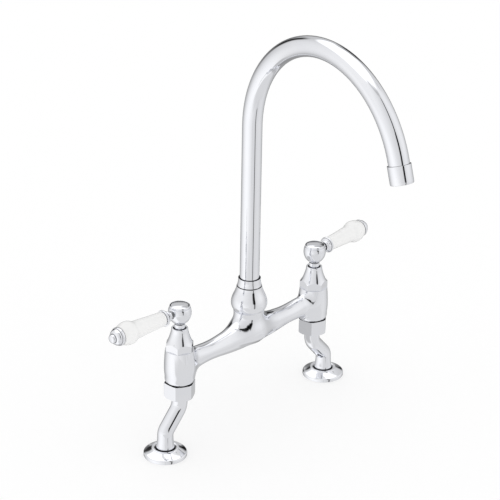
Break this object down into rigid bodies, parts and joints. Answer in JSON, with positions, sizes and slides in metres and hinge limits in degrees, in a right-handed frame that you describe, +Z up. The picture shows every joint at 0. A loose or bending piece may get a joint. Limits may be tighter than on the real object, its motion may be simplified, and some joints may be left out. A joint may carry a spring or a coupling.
{
  "type": "bridge kitchen faucet",
  "caption": "Deck-mounted bridge kitchen faucet with a swivelling swan-neck spout, lever valves with ceramic handles on pillars, and cranked legs on round flanges.",
  "frame": {"origin": "on the worktop, midway between the two valve pillars, on the swivel axis of the spout", "axes": "+Z up; +X along the bridge towards the right-hand pillar; -Y towards the user and the sink bowl"},
  "size_m": [0.3766, 0.247, 0.4365],
  "materials": {
    "chrome": "polished chrome plate on brass",
    "brass": "machined brass",
    "rubber": "moulded black rubber",
    "glaze": "white glazed porcelain",
    "alumina": "lapped alumina",
    "nylon": "moulded nylon",
    "fibre": "pressed red fibre"
  },
  "bodies": {
    "bridge": {"bridge_body": "chrome", "spout_hub": "chrome", "left_seat_washer": "rubber", "left_valve_cartridge": "brass", "left_cartridge_o_ring": "rubber", "left_ceramic_disc_fixed": "alumina", "left_bonnet": "chrome", "left_union_nut": "chrome", "left_union_washer": "fibre", "right_seat_washer": "rubber", "right_valve_cartridge": "brass", "right_cartridge_o_ring": "rubber", "right_ceramic_disc_fixed": "alumina", "right_bonnet": "chrome", "right_union_nut": "chrome", "right_union_washer": "fibre"},
    "spout": {"spout_tube": "chrome", "spout_collar": "chrome", "spout_spigot": "brass", "spout_o_ring_lower": "rubber", "spout_o_ring_upper": "rubber", "spout_slip_ring": "nylon", "aerator_housing": "chrome", "aerator_gasket": "rubber", "aerator_insert": "nylon"},
    "left_lever": {"left_ceramic_disc_turning": "alumina", "left_valve_spindle": "brass", "left_spindle_o_ring": "rubber", "left_lever_head": "chrome", "left_head_screw": "brass", "left_index_cap": "chrome", "left_lever_stem": "chrome", "left_lever_ferrule": "chrome", "left_lever_handle": "glaze", "left_lever_end_cap": "chrome"},
    "left_leg": {"left_crank_pipe": "chrome", "left_deck_flange": "chrome", "left_flange_gasket": "rubber"},
    "right_lever": {"right_ceramic_disc_turning": "alumina", "right_valve_spindle": "brass", "right_spindle_o_ring": "rubber", "right_lever_head": "chrome", "right_head_screw": "brass", "right_index_cap": "chrome", "right_lever_stem": "chrome", "right_lever_ferrule": "chrome", "right_lever_handle": "glaze", "right_lever_end_cap": "chrome"},
    "right_leg": {"right_crank_pipe": "chrome", "right_deck_flange": "chrome", "right_flange_gasket": "rubber"}
  },
  "joints": [
    {"name": "spout_swivel", "type": "hinge", "parent": "bridge", "child": "spout", "pos_m": [0, 0, 0.15], "axis": [0, 0, 1], "continuous": true},
    {"name": "left_lever_turn", "type": "hinge", "parent": "bridge", "child": "left_lever", "pos_m": [-0.1, 0, 0.13], "axis": [0, 0, 1], "range_deg": [0, 90]},
    {"name": "right_lever_turn", "type": "hinge", "parent": "bridge", "child": "right_lever", "pos_m": [0.1, 0, 0.13], "axis": [0, 0, -1], "range_deg": [0, 90]},
    {"name": "left_leg_swivel", "type": "hinge", "parent": "bridge", "child": "left_leg", "pos_m": [-0.1, 0, 0.06], "axis": [0, 0, 1], "continuous": true},
    {"name": "right_leg_swivel", "type": "hinge", "parent": "bridge", "child": "right_leg", "pos_m": [0.1, 0, 0.06], "axis": [0, 0, 1], "continuous": true}
  ]
}
